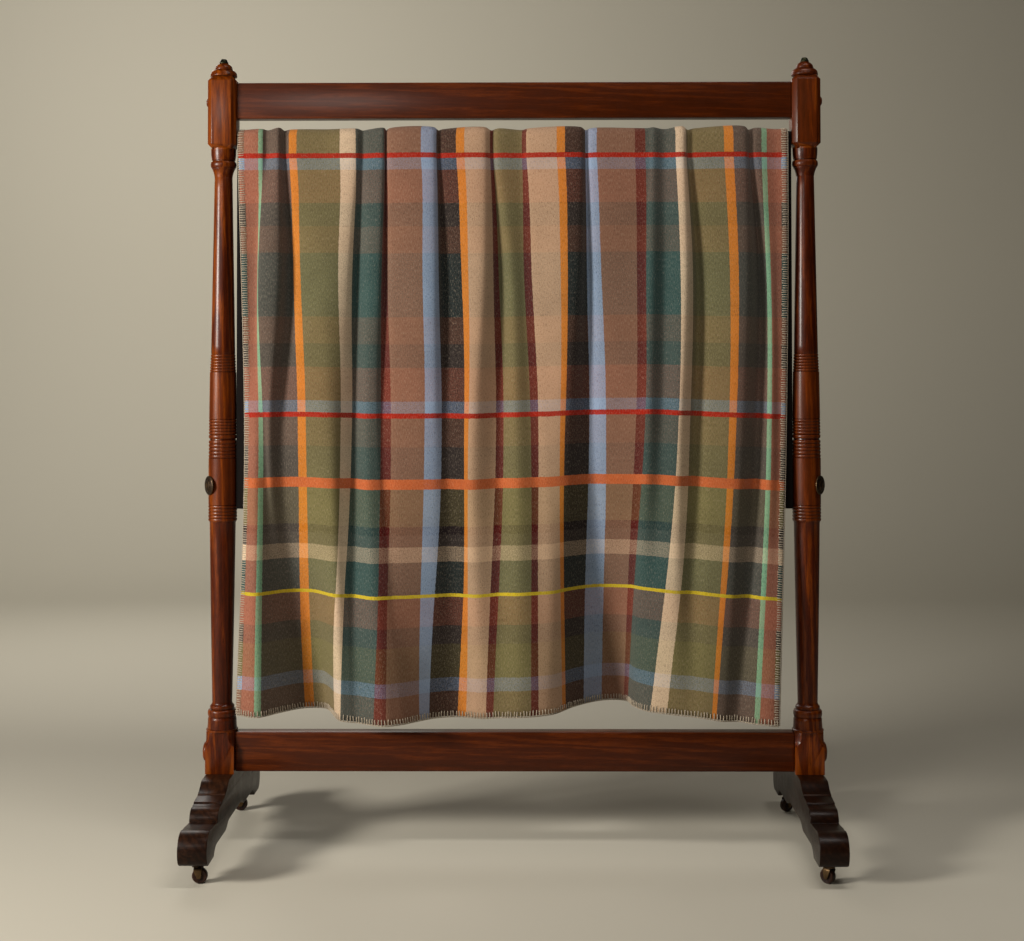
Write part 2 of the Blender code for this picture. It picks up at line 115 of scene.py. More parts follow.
# The check: half of each mirrored repeat, colour and width in mm. Across the cloth it is the warp,
# along it the weft. A line is a weft stripe that floats over the warp and covers it.
WARP = (("rose", 44), ("mint", 12), ("pebble", 90), ("ochre", 20), ("sage", 100), ("cream", 34), ("teal", 84),
        ("wine", 22), ("taupe", 82), ("sky", 40), ("plum", 60), ("ochre", 18), ("sand", 64), ("wine", 17),
        ("sage", 38))
WEFT = (("taupe", 52), ("sky", 30), ("sage", 70), ("pebble", 40), ("rose", 62), ("lemon", 9), ("teal", 66),
        ("cream", 34), ("pebble", 24), ("plum", 18), ("sage", 80), ("apricot", 22), ("pebble", 70),
        ("taupe", 60), ("brick", 12), ("sky", 26), ("rose", 70), ("pebble", 50), ("taupe", 60), ("teal", 70))
LINES = ("lemon", "brick", "apricot")
SELVEDGE = 0.013
COLORS = {
    "pebble": "4C4640", "sky": "8799B4", "sage": "6C6540", "ochre": "CE7A1C", "taupe": "7E5A47",
    "wine": "560604", "teal": "314A48", "cream": "D2BA9C", "plum": "150B0F", "rose": "965C48",
    "mint": "7AA886", "sand": "B89678", "brick": "9C1C0A", "lemon": "BEA620", "apricot": "B65C30",
}

# Blanket stitch: pitch, reach into the cloth and yarn thickness
Stitch = namedtuple("Stitch", "pitch reach yarn")
HEM_STITCH = Stitch(0.0067, 0.0100, 0.0023)
SIDE_STITCH = Stitch(0.0049, 0.0105, 0.0019)
TUCK = 0.0004

# Posts, with a square block at each end
POST_X = 0.625
BLOCK_HALF = 0.0305
BASE_BLOCK_Z = (0.155, 0.2425)
TOP_BLOCK_Z = (1.485, 1.642)
TOP_CHAMFER = 0.010

# Fittings: height and turn of the clamp screws, place and turn of the castors
CLAMP_Z, CLAMP_TURN = 0.765, 35
SEAT_GAP = 0.0003
CASTOR_Y = 0.262
CASTOR_TURN = {("left", "front"): 0, ("left", "back"): 180, ("right", "front"): 135, ("right", "back"): 215}
TRAIL, WHEEL_RADIUS = 0.007, 0.0153

# Soft boxes: place, target, width and height in metres, power in watts, colour
Light = namedtuple("Light", "name place target size power color")
LIGHTS = (
    Light("side key", (-3.0, -1.8, 1.50), (0.0, 0.0, 0.95), (0.8, 0.6), 70, "FFF9F0"),
    Light("front soft box", (-1.35, -3.3, 2.10), (0.0, 0.0, 1.0), (0.8, 0.7), 8, "FFF9F0"),
    Light("floor wash", (0.6, -1.0, 3.2), (0.6, -1.3, 0.0), (1.8, 0.5), 19, "FFFAF5"),
    Light("back fill", (-1.6, 3.4, 2.8), (-0.2, 0.0, 0.9), (2.0, 1.4), 20, "FFFAF5"),
    Light("wall wash", (-2.5, 0.4, 3.2), (-1.8, 5.2, 2.0), (1.4, 1.0), 94, "FFFAF2"),
)
BEAM_SPREAD = math.radians(130)
SKY_STRENGTH = 0.012
PAPER = "C0BBAC"


def linear(text):
    """An sRGB hex value as a linear colour."""
    parts = [int(text[i:i + 2], 16) / 255 for i in (0, 2, 4)]
    return [p / 12.92 if p <= 0.04045 else ((p + 0.055) / 1.055) ** 2.4 for p in parts] + [1.0]


def add(tree, kind, inputs=None, out=0, stops=(), sharp=False, **settings):
    """Add one shader node and return an output. An input takes a value or another node's output;
    stops are a ramp's places and colours, sharp where it steps from one to the next."""
    made = tree.nodes.new("ShaderNode" + kind)
    for key, value in settings.items():
        setattr(made, key, value)
    for key, value in (inputs or {}).items():
        if isinstance(value, bpy.types.NodeSocket):
            tree.links.new(value, made.inputs[key])
        else:
            made.inputs[key].default_value = value
    for i, (place, text) in enumerate(stops):
        element = made.color_ramp.elements[i] if i < 2 else made.color_ramp.elements.new(place)
        element.position = place
        element.color = linear(text)
    if sharp:
        made.color_ramp.interpolation = "CONSTANT"
    return made.outputs[out] if made.outputs else made


def new_material(name):
    """An empty material and its node tree."""
    mat = bpy.data.materials.new(name)
    mat.use_nodes = True
    mat.node_tree.nodes.clear()
    return mat, mat.node_tree


def surface(mat, inputs):
    """Give a material its shader."""
    shader = add(mat.node_tree, "BsdfPrincipled", inputs)
    add(mat.node_tree, "OutputMaterial", {"Surface": shader})
    return mat


def stripe_ramp(tree, place, stripes, colors):
    """Colours of a mirrored stripe repeat, read at a place in metres."""
    half = sum(width for _, width in stripes)
    stops, at = [], 0.0
    for name, width in stripes:
        stops.append((at / half, colors[name]))
        at += width
    folded = add(tree, "Math", {0: place, 1: half * MM}, operation="PINGPONG")
    share = add(tree, "Math", {0: folded, 1: half * MM}, operation="DIVIDE")
    return add(tree, "ValToRGB", {"Fac": share}, stops=stops, sharp=True)


def wool_material():
    """Woollen twill, woven in dyed melange yarns, then felted and raised: matt, with soft-edged
    stripes, pale and dark fibres mixed in, and a nap that turns paler where it is seen edge on."""
    mat, tree = new_material("felted woollen twill")
    weave = add(tree, "UVMap", uv_map="weave")
    across = add(tree, "SeparateXYZ", {"Vector": weave}, "X")
    along = across.node.outputs["Y"]
    # Felting lets the stripes' borders wander by about a millimetre
    wander = add(tree, "TexNoise", {"Vector": weave, "Scale": 160.0, "Detail": 2.0})
    wander = add(tree, "Math", {0: wander, 1: 0.0024, 2: -0.0012}, operation="MULTIPLY_ADD")
    warp_place = add(tree, "Math", {0: across, 1: wander}, operation="ADD")
    weft_place = add(tree, "Math", {0: along, 1: wander}, operation="ADD")
    warp = stripe_ramp(tree, warp_place, WARP, COLORS)
    weft = stripe_ramp(tree, weft_place, WEFT, COLORS)
    cover = stripe_ramp(tree, weft_place, WEFT, {n: "FFFFFF" if n in LINES else "000000" for n in COLORS})
    # The weft alone shows along both selvedges; on the real cloth they roll a little
    middle = add(tree, "Math", {0: across, 1: CLOTH_WIDTH / 2}, operation="SUBTRACT")
    middle = add(tree, "Math", {0: middle}, operation="ABSOLUTE")
    selvedge = add(tree, "Math", {0: middle, 1: CLOTH_WIDTH / 2 - SELVEDGE}, operation="GREATER_THAN")
    # Twill lines lie 2 mm apart on the real cloth, and are drawn 3 mm apart so that they show
    diagonal = add(tree, "Math", {0: across, 1: along}, operation="ADD")
    diagonal = add(tree, "Math", {0: diagonal, 1: math.tau / 0.0030}, operation="MULTIPLY")
    twill = add(tree, "Math", {0: diagonal}, operation="SINE")
    # Tufts of both yarns' fibres, about 2 mm wide, cover each other in turn: two thirds are warp
    tuft = add(tree, "TexNoise", {"Vector": weave, "Scale": 380.0, "Detail": 4.0, "Roughness": 0.7})
    share = add(tree, "Math", {0: tuft, 1: 1.2, 2: -0.36}, operation="MULTIPLY_ADD")
    share = add(tree, "Math", {0: twill, 1: 0.07, 2: share}, operation="MULTIPLY_ADD")
    share = add(tree, "Math", {0: cover, 1: 0.76, 2: share}, operation="MULTIPLY_ADD")
    share = add(tree, "Math", {0: share, 1: selvedge}, operation="ADD", use_clamp=True)
    woven = add(tree, "Mix", {0: share, 6: warp, 7: weft}, 2, data_type="RGBA")
    # Melange: pale and dark tufts of 2 to 3 mm, drawn out along the warp
    drawn_out = add(tree, "Mapping", {"Vector": weave, "Scale": (1.0, 0.30, 1.0)})
    fleck = add(tree, "TexNoise", {"Vector": drawn_out, "Scale": 480.0, "Detail": 4.0, "Roughness": 0.8})
    pale = add(tree, "MapRange", {0: fleck, 1: 0.53, 2: 0.68, 3: 0.0, 4: 0.34})
    woven = add(tree, "Mix", {0: pale, 6: woven, 7: linear("A89A86")}, 2, data_type="RGBA")
    deep = add(tree, "MapRange", {0: fleck, 1: 0.48, 2: 0.33, 3: 0.0, 4: 0.50})
    woven = add(tree, "Mix", {0: deep, 6: woven, 7: linear("1A1310")}, 2, data_type="RGBA")
    # A slow drift of the dye
    drift = add(tree, "TexNoise", {"Vector": weave, "Scale": 14.0, "Detail": 3.0, "Roughness": 0.6})
    tone = add(tree, "Math", {0: drift, 1: 0.35, 2: 0.83}, operation="MULTIPLY_ADD")
    color = add(tree, "VectorMath", {0: woven, "Scale": tone}, operation="SCALE")
    height = add(tree, "Math", {0: twill, 1: 0.10, 2: fleck}, operation="MULTIPLY_ADD")
    height = add(tree, "Math", {0: tuft, 1: 0.8, 2: height}, operation="MULTIPLY_ADD")
    bump = add(tree, "Bump", {"Height": height, "Strength": 0.6, "Distance": 0.0012})
    return surface(mat, {"Base Color": color, "Normal": bump, "Roughness": 0.95,
                         "Specular IOR Level": 0.15, "Sheen Weight": 0.15, "Sheen Roughness": 0.5,
                         "Sheen Tint": linear("E8DCCB")})


def yarn_material():
    """Undyed two-ply wool yarn, sewn by hand: matt and cream, mottled darker at random."""
    mat, tree = new_material("wool stitching yarn")
    place = add(tree, "TexCoord", out="Object")
    tone = add(tree, "TexNoise", {"Vector": place, "Scale": 700.0, "Detail": 2.0, "Roughness": 0.6})
    color = add(tree, "ValToRGB", {"Fac": tone}, stops=((0.25, "75685A"), (0.75, "C6B8A2")))
    bump = add(tree, "Bump", {"Height": tone, "Strength": 0.5, "Distance": 0.0004})
    return surface(mat, {"Base Color": color, "Normal": bump, "Roughness": 0.95,
                         "Specular IOR Level": 0.2, "Sheen Weight": 0.2})


def wood_material(name, grain, dark, mid, light, gloss=0.40, coat=0.24, wear_and_highlight=0.5):
    """Stained pine, sawn and turned, under old shellac: growth rings drawn out along the grain, fine
    pores, a deep gloss that is duller in patches, grooves darkened for dirt and painted shade, and arrises
    lightened for rubbed wear and a painted highlight."""
    mat, tree = new_material(name)
    place = add(tree, "TexCoord", out="Object")
    # Rings lie 2 to 6 mm apart and run on for 16 times that along the grain
    squeeze = [0.06 if axis == grain else 1.0 for axis in "XYZ"]
    drawn_out = add(tree, "Mapping", {"Vector": place, "Scale": squeeze})
    rings = add(tree, "TexWave", {"Vector": drawn_out, "Scale": 34.0, "Distortion": 9.0, "Detail": 3.0,
                                  "Detail Scale": 1.6, "Detail Roughness": 0.62},
                out="Fac", bands_direction="DIAGONAL")
    streak = add(tree, "TexNoise", {"Vector": drawn_out, "Scale": 130.0, "Detail": 4.0, "Roughness": 0.6})
    cloud = add(tree, "TexNoise", {"Vector": drawn_out, "Scale": 9.0, "Detail": 2.0})
    pores = add(tree, "TexNoise", {"Vector": drawn_out, "Scale": 900.0, "Detail": 3.0, "Roughness": 0.75})
    figure = add(tree, "Math", {0: rings, 1: 0.16, 2: -0.06}, operation="MULTIPLY_ADD")
    figure = add(tree, "Math", {0: streak, 1: 0.42, 2: figure}, operation="MULTIPLY_ADD")
    figure = add(tree, "Math", {0: cloud, 1: 0.64, 2: figure}, operation="MULTIPLY_ADD")
    color = add(tree, "ValToRGB", {"Fac": figure}, stops=((0.25, dark), (0.53, mid), (0.82, light)))
    pored = add(tree, "ValToRGB", {"Fac": pores}, stops=((0.30, "6A6A6A"), (0.55, "FFFFFF")))
    color = add(tree, "Mix", {0: 0.75, 6: color, 7: pored}, 2, data_type="RGBA", blend_type="MULTIPLY")
    point = add(tree, "NewGeometry", out="Pointiness")
    # Convex arrises are lightened towards the light colour: rubbed wear, and a painted highlight along them
    rubbed_and_highlit = add(tree, "MapRange", {0: point, 1: 0.515, 2: 0.62})
    rubbed_and_highlit = add(tree, "Math", {0: rubbed_and_highlit, 1: wear_and_highlight}, operation="MULTIPLY")
    color = add(tree, "Mix", {0: rubbed_and_highlit, 6: color, 7: linear(light)}, 2, data_type="RGBA")
    # Grooves and hollows are darkened nearly to black: dirt, and painted shade where shade falls in them
    dirt_and_shade = add(tree, "MapRange", {0: point, 1: 0.485, 2: 0.40, 3: 0.0, 4: 0.75})
    color = add(tree, "Mix", {0: dirt_and_shade, 6: color, 7: linear("0B0503")}, 2, data_type="RGBA")
    patina = add(tree, "TexNoise", {"Vector": place, "Scale": 26.0, "Detail": 4.0, "Roughness": 0.65})
    rough = add(tree, "Math", {0: patina, 1: 0.30, 2: gloss - 0.15}, operation="MULTIPLY_ADD")
    # The old shellac has crazed into specks about 2 mm wide, which break up its highlights
    crazed = add(tree, "TexNoise", {"Vector": place, "Scale": 480.0, "Detail": 3.0, "Roughness": 0.7})
    height = add(tree, "Math", {0: streak, 1: 0.8, 2: pores}, operation="MULTIPLY_ADD")
    height = add(tree, "Math", {0: crazed, 1: 1.4, 2: height}, operation="MULTIPLY_ADD")
    bump = add(tree, "Bump", {"Height": height, "Strength": 0.22, "Distance": 0.0008})
    return surface(mat, {"Base Color": color, "Normal": bump, "Roughness": rough, "IOR": 1.5,
                         "Specular IOR Level": 0.12, "Coat Weight": coat, "Coat Roughness": 0.24})


def metal_material(name, bright, dull, tarnish):
    """Cast metal left to tarnish: brighter where it is handled, blotched green-brown at random."""
    mat, tree = new_material(name)
    place = add(tree, "TexCoord", out="Object")
    blotch = add(tree, "TexNoise", {"Vector": place, "Scale": 180.0, "Detail": 4.0, "Roughness": 0.65})
    stops = ((0.30, tarnish), (0.55, dull), (0.85, bright))
    color = add(tree, "ValToRGB", {"Fac": blotch}, stops=stops)
    point = add(tree, "NewGeometry", out="Pointiness")
    worn = add(tree, "MapRange", {0: point, 1: 0.52, 2: 0.62})
    color = add(tree, "Mix", {0: worn, 6: color, 7: linear(bright)}, 2, data_type="RGBA")
    rough = add(tree, "Math", {0: blotch, 1: -0.35, 2: 0.62}, operation="MULTIPLY_ADD")
    grit = add(tree, "TexNoise", {"Vector": place, "Scale": 900.0, "Detail": 2.0})
    bump = add(tree, "Bump", {"Height": grit, "Strength": 0.2, "Distance": 0.0003})
    return surface(mat, {"Base Color": color, "Metallic": 0.9, "Roughness": rough, "Normal": bump})


def start(kind, name, **size):
    """Add one primitive with nothing else selected."""
    bpy.ops.object.select_all(action="DESELECT")
    getattr(bpy.ops.mesh, f"primitive_{kind}_add")(**size)
    obj = bpy.context.object
    obj.name = obj.data.name = name
    return obj


def apply_all(obj):
    """Apply an object's modifiers in order."""
    bpy.context.view_layer.objects.active = obj
    for modifier in list(obj.modifiers):
        bpy.ops.object.modifier_apply(modifier=modifier.name)


def eased(obj, width, segments=2, angle=35):
    """Ease the sharp edges."""
    bevel = obj.modifiers.new("eased edges", "BEVEL")
    bevel.width = width
    bevel.segments = segments
    bevel.limit_method = "ANGLE"
    bevel.angle_limit = math.radians(angle)
    apply_all(obj)


def cut_with(obj, tool, operation):
    """Boolean with a second object, which is then removed."""
    step = obj.modifiers.new(operation, "BOOLEAN")
    step.operation = operation
    step.object = tool
    apply_all(obj)
    bpy.data.objects.remove(tool, do_unlink=True)


def drawn(name, points):
    """A chain of edges drawn through points, left open in edit mode."""
    obj = start("plane", name, size=0.001)
    bpy.ops.object.mode_set(mode="EDIT")
    bpy.ops.mesh.select_all(action="SELECT")
    bpy.ops.mesh.merge(type="CENTER")
    bpy.ops.transform.translate(value=points[0])
    for a, b in zip(points, points[1:]):
        step = [q - p for p, q in zip(a, b)]
        bpy.ops.mesh.extrude_vertices_move(TRANSFORM_OT_translate={"value": step})
    bpy.ops.mesh.select_all(action="SELECT")
    return obj


def turned(name, profile, steps=64):
    """A lathe piece about Z from (height, radius) points."""
    obj = drawn(name, [(r, 0.0, z) for z, r in profile])
    bpy.ops.mesh.spin(steps=steps, angle=math.tau, center=(0, 0, 0), axis=(0, 0, 1))
    bpy.ops.mesh.remove_doubles(threshold=0.00001)
    bpy.ops.mesh.normals_make_consistent(inside=False)
    bpy.ops.object.mode_set(mode="OBJECT")
    return obj


def sawn(name, outline, thick):
    """A board cut to an outline in the YZ plane and extruded along X."""
    obj = drawn(name, outline)
    bpy.ops.mesh.edge_face_add()
    bpy.ops.mesh.extrude_region_move(TRANSFORM_OT_translate={"value": (thick, 0, 0)})
    bpy.ops.mesh.select_all(action="SELECT")
    bpy.ops.mesh.normals_make_consistent(inside=False)
    bpy.ops.object.mode_set(mode="OBJECT")
    return obj


def settle(obj, mat, body, nodes=(), place=None):
    """Finish a piece: put its place in its mesh, shade it, dress it and tie it to its body."""
    if place is not None:
        obj.data.transform(place)
    bpy.ops.object.select_all(action="DESELECT")
    obj.select_set(True)
    bpy.context.view_layer.objects.active = obj
    bpy.ops.object.transform_apply(location=True, rotation=True, scale=True)
    bpy.ops.object.shade_smooth_by_angle(angle=SMOOTH_ANGLE)
    obj.data.materials.clear()
    obj.data.materials.append(mat)
    if nodes:
        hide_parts(*nodes)
    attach(obj, body)


def copy_of(obj, name):
    """A copy with its own mesh."""
    made = obj.copy()
    made.data = obj.data.copy()
    made.name = made.data.name = name
    bpy.context.scene.collection.objects.link(made)
    return made


def arc(center, radius, begin, end, steps):
    """Points on an arc, angles in degrees."""
    angles = [math.radians(begin + (end - begin) * i / steps) for i in range(steps + 1)]
    return [(center[0] + radius * math.cos(a), center[1] + radius * math.sin(a)) for a in angles]


def make_camera():
    """The camera at the photograph's place."""
    data = bpy.data.cameras.new("camera")
    data.sensor_width = SENSOR
    data.lens = FOCAL_PIXELS * SENSOR / IMAGE_WIDTH
    data.shift_x = (IMAGE_WIDTH / 2 - AXIS_PIXEL[0]) / IMAGE_WIDTH
    data.shift_y = (AXIS_PIXEL[1] - IMAGE_HEIGHT / 2) / IMAGE_WIDTH
    obj = bpy.data.objects.new("camera", data)
    bpy.context.scene.collection.objects.link(obj)
    turn = (Matrix.Rotation(-CAMERA_YAW, 4, "Z") @ Matrix.Rotation(math.pi / 2 + CAMERA_PITCH, 4, "X")
            @ Matrix.Rotation(CAMERA_ROLL, 4, "Z"))
    obj.matrix_world = Matrix.Translation(CAMERA_PLACE) @ turn
    bpy.context.scene.camera = obj


def make_light(name, place, target, size, power, color):
    """One soft box aimed at a point."""
    data = bpy.data.lights.new(name, "AREA")
    data.shape = "RECTANGLE"
    data.size, data.size_y = size
    data.energy = power
    data.color = linear(color)[:3]
    data.spread = BEAM_SPREAD
    obj = bpy.data.objects.new(name, data)
    obj.location = place
    obj.rotation_euler = (Vector(target) - Vector(place)).to_track_quat("-Z", "Y").to_euler()
    bpy.context.scene.collection.objects.link(obj)


def make_stage():
    """Plain pale paper sweep, with floor, curve and wall in one, and soft studio light. The wall is far
    enough back that a camera behind the object still sees it."""
    width, front, back, radius, height = 24.0, -14.0, 5.2, 1.6, 7.0
    path = [(0, front, 0), (0, back - radius, 0)]
    path += [(0, y, z) for y, z in arc((back - radius, radius), radius, -80, 0, 10)]
    path += [(0, back, height)]
    sweep = drawn("studio_sweep", [(-width / 2, y, z) for _, y, z in path])
    bpy.ops.mesh.extrude_region_move(TRANSFORM_OT_translate={"value": (width, 0, 0)})
    bpy.ops.mesh.select_all(action="SELECT")
    bpy.ops.mesh.normals_make_consistent(inside=True)
    bpy.ops.object.mode_set(mode="OBJECT")
    bpy.ops.object.shade_smooth()
    mat, _ = new_material("painted paper")
    sweep.data.materials.append(surface(mat, {"Base Color": linear(PAPER), "Roughness": 0.9}))
    world = bpy.data.worlds.new("studio")
    bpy.context.scene.world = world
    world.use_nodes = True
    world.node_tree.nodes["Background"].inputs["Color"].default_value = linear("D8D2C6")
    world.node_tree.nodes["Background"].inputs["Strength"].default_value = SKY_STRENGTH
    for light in LIGHTS:
        make_light(*light)
    bpy.context.scene.view_settings.view_transform = "Standard"


def slopes(knots, values):
    """Slopes of a smooth curve through values at uneven knots."""
    steps = np.diff(values, axis=0) / np.diff(knots, axis=0)
    a, b = np.diff(knots, axis=0)[:-1], np.diff(knots, axis=0)[1:]
    middle = (steps[:-1] * b + steps[1:] * a) / (a + b)
    return np.concatenate([steps[:1], middle, steps[-1:]])


def between(share, step, low, high, low_slope, high_slope):
    """A smooth curve's value at a share of the step between two knots."""
    s = share
    return ((2 * s**3 - 3 * s**2 + 1) * low + (s**3 - 2 * s**2 + s) * step * low_slope
            + (3 * s**2 - 2 * s**3) * high + (s**3 - s**2) * step * high_slope)


def read_curve(knots, values, index, share):
    """Read a smooth curve between knot index and the next."""
    m = slopes(knots, values)
    step = knots[index + 1] - knots[index]
    return between(share, step, values[index], values[index + 1], m[index], m[index + 1])


FOLD_TABLE = np.array(FOLDS, float)


def folds_at(z):
    """X and depth of every fold line, each at its own height, in metres."""
    knots = -np.array(FOLD_Z)
    at = -np.minimum(z, FOLD_Z[0])
    index = np.clip(np.searchsorted(knots, at, side="right") - 1, 0, len(FOLD_Z) - 2)
    step = knots[index + 1] - knots[index]
    share = (at - knots[index]) / step
    line = np.arange(len(FOLDS))
    result = []
    for first in (0, 1):
        values = FOLD_TABLE[:, first:8:2].T * MM
        m = slopes(np.repeat(knots[:, None], len(FOLDS), axis=1), values)
        result.append(between(share, step, values[index, line], values[index + 1, line],
                              m[index, line], m[index + 1, line]))
    return result


def column_places():
    """Places along the row of folds, as fold number and fraction, about COLUMN_STEP apart."""
    places = []
    for i in range(len(FOLDS) - 1):
        a, b = FOLD_TABLE[i], FOLD_TABLE[i + 1]
        span = max(math.hypot(b[k] - a[k], b[k + 1] - a[k + 1]) for k in (0, 2, 4, 6)) * MM
        count = max(2, math.ceil(span / COLUMN_STEP))
        places += [i + k / count for k in range(count)]
    return np.array(places + [len(FOLDS) - 1])


def across_folds(points, places):
    """Points on a smooth curve through the folds' points."""
    gaps = np.sqrt(np.linalg.norm(np.diff(points, axis=0), axis=1))
    knots = np.concatenate([[0], np.cumsum(gaps)])[:, None]
    index = np.minimum(places.astype(int), len(points) - 2)
    share = (places - index)[:, None]
    return read_curve(knots, points, index, share)


def throw_rows(places):
    """The cloth's middle surface, row by row from the front hem over the rail to the back hem."""
    hem = FOLD_Z[-1] - FOLD_TABLE[:, 8] * MM
    rows = []
    count = math.ceil((FOLD_Z[0] - FOLD_Z[-1]) / ROW_STEP)
    for part in np.linspace(0, 1, count + 1):
        z = hem + part * (FOLD_Z[0] - hem)
        x, out = folds_at(z)
        rows.append(across_folds(np.stack([x, -CLOTH_LINE - out, z], 1), places))
    x, out = folds_at(np.full(len(FOLDS), FOLD_Z[0]))
    half = CLOTH_LINE - CLOTH_ROUND
    for angle in np.linspace(0, 180, TURN_ROWS):
        a = math.radians(angle)
        rise = max(RISE_OVER_RAIL, 1 - (1 - RISE_OVER_RAIL) * angle / 90)
        reach = CLOTH_ROUND + out * rise
        side = half * min(1, max(-1, (angle - 90) / FLAT_TURN))
        height = CLOTH_TOP - CLOTH_ROUND + reach * math.sin(a)
        rows.append(across_folds(np.stack([x, side - reach * math.cos(a), height], 1), places))
    wave = sum(w.depth * (1 + np.sin(math.tau * (x - w.start) / w.length)) for w in BACK_WAVES)
    count = math.ceil((FOLD_Z[0] - BACK_HEM_Z) / ROW_STEP)
    for part in np.linspace(0, 1, count + 1):
        depth = out * RISE_OVER_RAIL * (1 - part) + (0.001 + wave) * part
        z = FOLD_Z[0] + part * (BACK_HEM_Z - FOLD_Z[0]) - 0.3 * part * wave
        rows.append(across_folds(np.stack([x, CLOTH_LINE + depth, z], 1), places))
    return np.array(rows)


def grid_mesh(name, grid, uv):
    """A sheet of quads on a grid of points, with its flat place as the UV map."""
    rows, cols = grid.shape[:2]
    index = np.arange(rows * cols).reshape(rows, cols)
    quads = np.stack([index[:-1, :-1], index[:-1, 1:], index[1:, 1:], index[1:, :-1]], -1).reshape(-1, 4)
    mesh = bpy.data.meshes.new(name)
    mesh.from_pydata(grid.reshape(-1, 3).tolist(), [], quads.tolist())
    layer = mesh.uv_layers.new(name="weave")
    layer.data.foreach_set("uv", uv.reshape(-1, 2)[quads.reshape(-1)].astype(np.float32).ravel())
    mesh.shade_smooth()
    obj = bpy.data.objects.new(name, mesh)
    bpy.context.scene.collection.objects.link(obj)
    return obj


def flat_places(grid):
    """Where each point lies on the flat cloth: each row has the cloth's whole width, shared out half
    as on the row itself and half as on the mean row, and the rows' mean distances make its length."""
    steps = np.linalg.norm(np.diff(grid, axis=1), axis=2)
    steps /= steps.sum(1, keepdims=True)
    steps = (steps + steps.mean(0)) / 2 * CLOTH_WIDTH
    across = np.concatenate([np.zeros((len(grid), 1)), np.cumsum(steps, axis=1)], 1)
    along = np.concatenate([[0], np.cumsum(np.linalg.norm(np.diff(grid, axis=0), axis=2).mean(1))])
    along *= CLOTH_LENGTH / along[-1]
    return np.stack([across, np.broadcast_to(along[:, None], across.shape)], -1)


def normals_of(grid):
    """Unit normals of the sheet, away from the rail."""
    across = np.gradient(grid, axis=1)
    along = np.gradient(grid, axis=0)
    n = np.cross(across, along)
    return n / np.linalg.norm(n, axis=2, keepdims=True)


def make_throw(wool):
    """The hung cloth: a thin sheet on its folds."""
    grid = throw_rows(column_places())
    uv = flat_places(grid)
    obj = grid_mesh("throw_cloth", grid, uv)
    thick = obj.modifiers.new("thickness", "SOLIDIFY")
    thick.thickness = CLOTH_THICK
    thick.offset = 0
    apply_all(obj)
    obj.data.materials.append(wool)
    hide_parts("throw")
    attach(obj, "root")
    return obj, grid


def tube(points, normal, radius, sides=5):
    """Rings of points round a path."""
    points = np.array(points)
    along = np.gradient(points, axis=0)
    along /= np.linalg.norm(along, axis=1, keepdims=True)
    side = np.cross(along, normal)
    side /= np.linalg.norm(side, axis=1, keepdims=True)
    up = np.cross(side, along)
    angles = np.arange(sides) * math.tau / sides
    return points[:, None] + radius * (np.cos(angles)[None, :, None] * side[:, None]
                                       + np.sin(angles)[None, :, None] * up[:, None])


def edge_lines(grid):
    """The four edges as paths, each with the direction out of the cloth and its normals."""
    normals = normals_of(grid)
    lines = {}
    for name, line, inner, n in (
            ("hem", grid[0], grid[1], normals[0]), ("back hem", grid[-1], grid[-2], normals[-1]),
            ("left", grid[:, 0], grid[:, 1], normals[:, 0]),
            ("right", grid[:, -1], grid[:, -2], normals[:, -1])):
        out = line - inner
        out /= np.linalg.norm(out, axis=1, keepdims=True)
        lines[name] = (line, out, n)
    return lines


def read_edge(length, parts, at):
    """An edge's line, outward direction and normal at a length along it."""
    return [np.stack([np.interp(at, length, values[:, i]) for i in range(3)], -1) for values in parts]


def make_stitches(grid, yarn):
    """Blanket stitch round the cloth: a leg on each face for every stitch and a purl along the edge."""
    legs, purls = [], []
    rng = np.random.default_rng(7)
    for name, parts in edge_lines(grid).items():
        stitch = HEM_STITCH if "hem" in name else SIDE_STITCH
        lift = CLOTH_THICK / 2 + stitch.yarn * 0.25
        length = np.concatenate([[0], np.cumsum(np.linalg.norm(np.diff(parts[0], axis=0), axis=1))])
        count = int(length[-1] / stitch.pitch)
        for k in range(count):
            at = (k + 0.5 + rng.uniform(-0.12, 0.12)) * length[-1] / count
            p, o, n = read_edge(length, parts, at)
            o /= np.linalg.norm(o)
            n = n - o * (n @ o)
            n /= np.linalg.norm(n)
            lean = np.cross(o, n) * rng.uniform(-0.0008, 0.0008)
            reach = stitch.reach * rng.uniform(0.85, 1.12)
            path = [p - o * (reach + TUCK) + n * TUCK + lean, p - o * reach + n * lift + lean,
                    p - o * reach * 0.5 + n * (lift + TUCK / 2), p + n * lift,
                    p + o * (lift + TUCK / 2), p - n * lift, p - o * reach * 0.6 - n * lift,
                    p - o * (reach + TUCK) - n * TUCK]
            legs.append(tube(path, np.cross(o, n), stitch.yarn / 2))
        # The purl sways with each stitch; its rings are set out from a direction never along the edge
        p, o, n = read_edge(length, parts, np.linspace(0, length[-1], 3 * count))
        sway = np.sin(np.arange(3 * count) * math.tau / 3)[:, None]
        path = p + o * (lift + 0.0003) + n * sway * 0.0005
        purls.append(tube(path, n.mean(0) + np.array([0.001, 0.002, 0.003]), stitch.yarn * 0.45))
    make_tubes("blanket_stitch", legs, yarn)
    make_tubes("edge_purl", purls, yarn)


